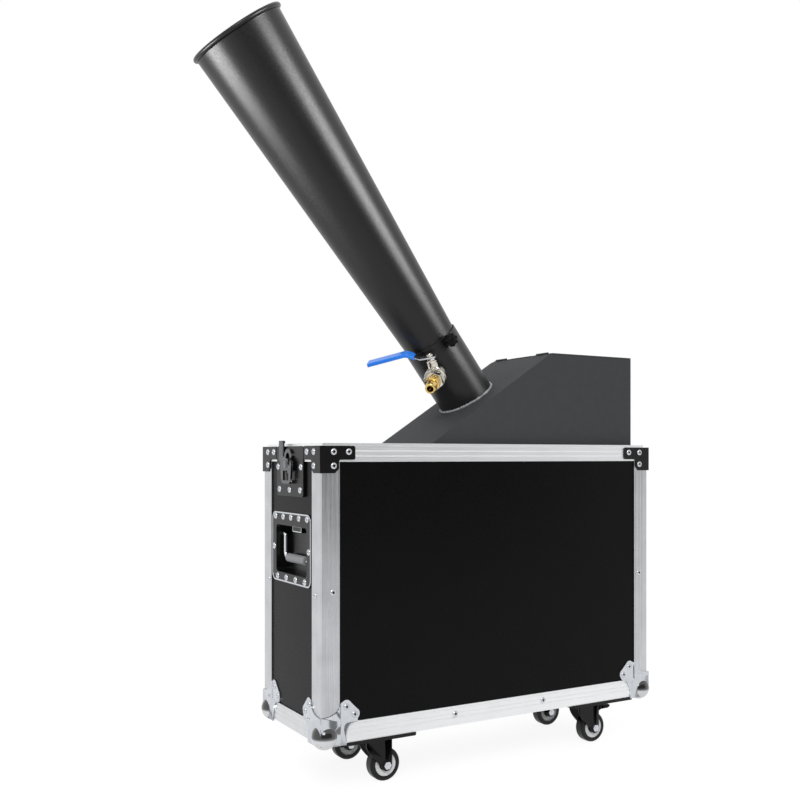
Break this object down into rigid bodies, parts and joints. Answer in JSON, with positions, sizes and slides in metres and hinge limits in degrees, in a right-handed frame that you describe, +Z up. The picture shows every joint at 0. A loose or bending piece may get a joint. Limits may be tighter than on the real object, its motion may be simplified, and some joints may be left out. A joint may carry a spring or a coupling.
{
  "type": "confetti blower",
  "caption": "Gas-driven confetti blower: a slanted cone barrel on a steel hopper with a filler lid and ball valve, standing in an open-topped black road case on castors.",
  "frame": {"origin": "middle of the bounding box's base, on the floor between the castors", "axes": "+X along the case away from the muzzle, +Y into the case's depth away from the valve, +Z up"},
  "size_m": [0.7738, 0.224, 1.1518],
  "materials": {
    "laminate": "satin black laminate on plywood",
    "aluminium_edge": "mill-finish extrusion, fine lengthwise lines",
    "bright_zinc": "bright zinc on pressed steel",
    "zinc_plate": "zinc-plated steel",
    "black_steel": "black-plated pressed steel, semi-gloss",
    "grip_rubber": "matte grey rubber",
    "castor_rubber": "black rubber tread on a grey and black plastic hub",
    "black_plastic": "moulded black nylon",
    "powder_coat": "dark grey matte powder coat, fine texture",
    "barrel_paint": "satin black paint",
    "nickel_plate": "nickel-plated brass",
    "yellow_brass": "turned brass",
    "blue_dip": "dipped blue vinyl"
  },
  "bodies": {
    "root": {"front_panel": "laminate", "back_panel": "laminate", "floor_panel": "laminate", "left_end_panel": "laminate", "right_end_panel": "laminate", "front_left_post": "aluminium_edge", "front_right_post": "aluminium_edge", "back_right_post": "aluminium_edge", "back_left_post": "aluminium_edge", "front_bottom_edge": "aluminium_edge", "back_bottom_edge": "aluminium_edge", "left_bottom_edge": "aluminium_edge", "right_bottom_edge": "aluminium_edge", "top_rim": "aluminium_edge", "front_left_ball_corner": "bright_zinc", "front_right_ball_corner": "bright_zinc", "back_right_ball_corner": "bright_zinc", "back_left_ball_corner": "bright_zinc", "front_left_brace": "black_steel", "front_right_brace": "black_steel", "back_right_brace": "black_steel", "back_left_brace": "black_steel", "left_handle_dish": "black_steel", "right_handle_dish": "black_steel", "left_latch_plate": "black_steel", "right_latch_plate": "black_steel", "front_left_caster_plate": "black_steel", "front_right_caster_plate": "black_steel", "back_left_caster_plate": "black_steel", "back_right_caster_plate": "black_steel", "deck_plate": "black_steel", "hopper_body": "powder_coat", "collar": "powder_coat", "gas_nozzle": "yellow_brass", "valve_body": "nickel_plate", "brass_nipple": "yellow_brass"},
    "front_left_swivel": {"front_left_caster_fork": "black_steel"},
    "front_right_swivel": {"front_right_caster_fork": "black_steel"},
    "back_left_swivel": {"back_left_caster_fork": "black_steel"},
    "back_right_swivel": {"back_right_caster_fork": "black_steel"},
    "front_left_wheel": {"front_left_caster_wheel": "castor_rubber"},
    "front_right_wheel": {"front_right_caster_wheel": "castor_rubber"},
    "back_left_wheel": {"back_left_caster_wheel": "castor_rubber"},
    "back_right_wheel": {"back_right_caster_wheel": "castor_rubber"},
    "front_right_pedal": {"front_right_brake_pedal": "black_plastic"},
    "back_right_pedal": {"back_right_brake_pedal": "black_plastic"},
    "left_handle": {"left_handle_bail": "zinc_plate", "left_handle_grip": "grip_rubber"},
    "right_handle": {"right_handle_bail": "zinc_plate", "right_handle_grip": "grip_rubber"},
    "left_key": {"left_latch_key": "black_steel"},
    "right_key": {"right_latch_key": "black_steel"},
    "left_hook": {"left_latch_hook": "black_steel"},
    "right_hook": {"right_latch_hook": "black_steel"},
    "lid": {"filler_lid": "powder_coat"},
    "muzzle": {"barrel": "barrel_paint"},
    "knob": {"locking_knob": "black_plastic"},
    "lever": {"valve_stem": "nickel_plate", "valve_lever": "zinc_plate", "lever_sleeve": "blue_dip"}
  },
  "joints": [
    {"name": "front_left_swivel_turn", "type": "hinge", "parent": "root", "child": "front_left_swivel", "pos_m": [-0.13455, -0.06, 0.07], "axis": [0, 0, 1], "continuous": true},
    {"name": "front_right_swivel_turn", "type": "hinge", "parent": "root", "child": "front_right_swivel", "pos_m": [0.27145, -0.06, 0.07], "axis": [0, 0, 1], "continuous": true},
    {"name": "back_left_swivel_turn", "type": "hinge", "parent": "root", "child": "back_left_swivel", "pos_m": [-0.13455, 0.06, 0.07], "axis": [0, 0, 1], "continuous": true},
    {"name": "back_right_swivel_turn", "type": "hinge", "parent": "root", "child": "back_right_swivel", "pos_m": [0.27145, 0.06, 0.07], "axis": [0, 0, 1], "continuous": true},
    {"name": "front_left_wheel_roll", "type": "hinge", "parent": "front_left_swivel", "child": "front_left_wheel", "pos_m": [-0.11705, -0.06, 0.025], "axis": [0, 1, 0], "continuous": true},
    {"name": "front_right_wheel_roll", "type": "hinge", "parent": "front_right_swivel", "child": "front_right_wheel", "pos_m": [0.28895, -0.06, 0.025], "axis": [0, 1, 0], "continuous": true},
    {"name": "back_left_wheel_roll", "type": "hinge", "parent": "back_left_swivel", "child": "back_left_wheel", "pos_m": [-0.11705, 0.06, 0.025], "axis": [0, 1, 0], "continuous": true},
    {"name": "back_right_wheel_roll", "type": "hinge", "parent": "back_right_swivel", "child": "back_right_wheel", "pos_m": [0.28895, 0.06, 0.025], "axis": [0, 1, 0], "continuous": true},
    {"name": "front_right_brake", "type": "hinge", "parent": "front_right_swivel", "child": "front_right_pedal", "pos_m": [0.29145, -0.06, 0.058], "axis": [0, 1, 0], "range_deg": [0, 18]},
    {"name": "back_right_brake", "type": "hinge", "parent": "back_right_swivel", "child": "back_right_pedal", "pos_m": [0.29145, 0.06, 0.058], "axis": [0, 1, 0], "range_deg": [0, 18]},
    {"name": "left_handle_lift", "type": "hinge", "parent": "root", "child": "left_handle", "pos_m": [-0.23045, 0, 0.369], "axis": [0, 1, 0], "range_deg": [0, 90], "stiffness_Nm_per_rad": 0.1, "springref_deg": -20.05},
    {"name": "right_handle_lift", "type": "hinge", "parent": "root", "child": "right_handle", "pos_m": [0.36735, 0, 0.369], "axis": [0, -1, 0], "range_deg": [0, 90], "stiffness_Nm_per_rad": 0.1, "springref_deg": -20.05},
    {"name": "left_key_turn", "type": "hinge", "parent": "root", "child": "left_key", "pos_m": [-0.24655, 0, 0.476], "axis": [-1, 0, 0], "range_deg": [0, 180]},
    {"name": "right_key_turn", "type": "hinge", "parent": "root", "child": "right_key", "pos_m": [0.38345, 0, 0.476], "axis": [1, 0, 0], "range_deg": [0, 180]},
    {"name": "left_hook_draw", "type": "slide", "parent": "root", "child": "left_hook", "axis": [0, 0, 1], "range_m": [-0.01, 0]},
    {"name": "right_hook_draw", "type": "slide", "parent": "root", "child": "right_hook", "axis": [0, 0, 1], "range_m": [-0.01, 0]},
    {"name": "lid_swing", "type": "hinge", "parent": "root", "child": "lid", "pos_m": [0.18773, 0, 0.658], "axis": [0, -1, 0], "range_deg": [0, 100]},
    {"name": "barrel_lift", "type": "slide", "parent": "root", "child": "muzzle", "axis": [-0.6101, 0, 0.7923], "range_m": [0, 0.04]},
    {"name": "knob_turn", "type": "hinge", "parent": "root", "child": "knob", "pos_m": [0.00744, -0.055, 0.67106], "axis": [0, -1, 0], "continuous": true},
    {"name": "valve_turn", "type": "hinge", "parent": "root", "child": "lever", "pos_m": [-0.00969, -0.03985, 0.61546], "axis": [-0.4473, -0.2099, 0.8694], "range_deg": [0, 90]}
  ],
  "couplings": [
    {"joint": "left_hook_draw", "follows": "left_key_turn", "m_per_rad": -0.003183},
    {"joint": "right_hook_draw", "follows": "right_key_turn", "m_per_rad": -0.003183}
  ]
}
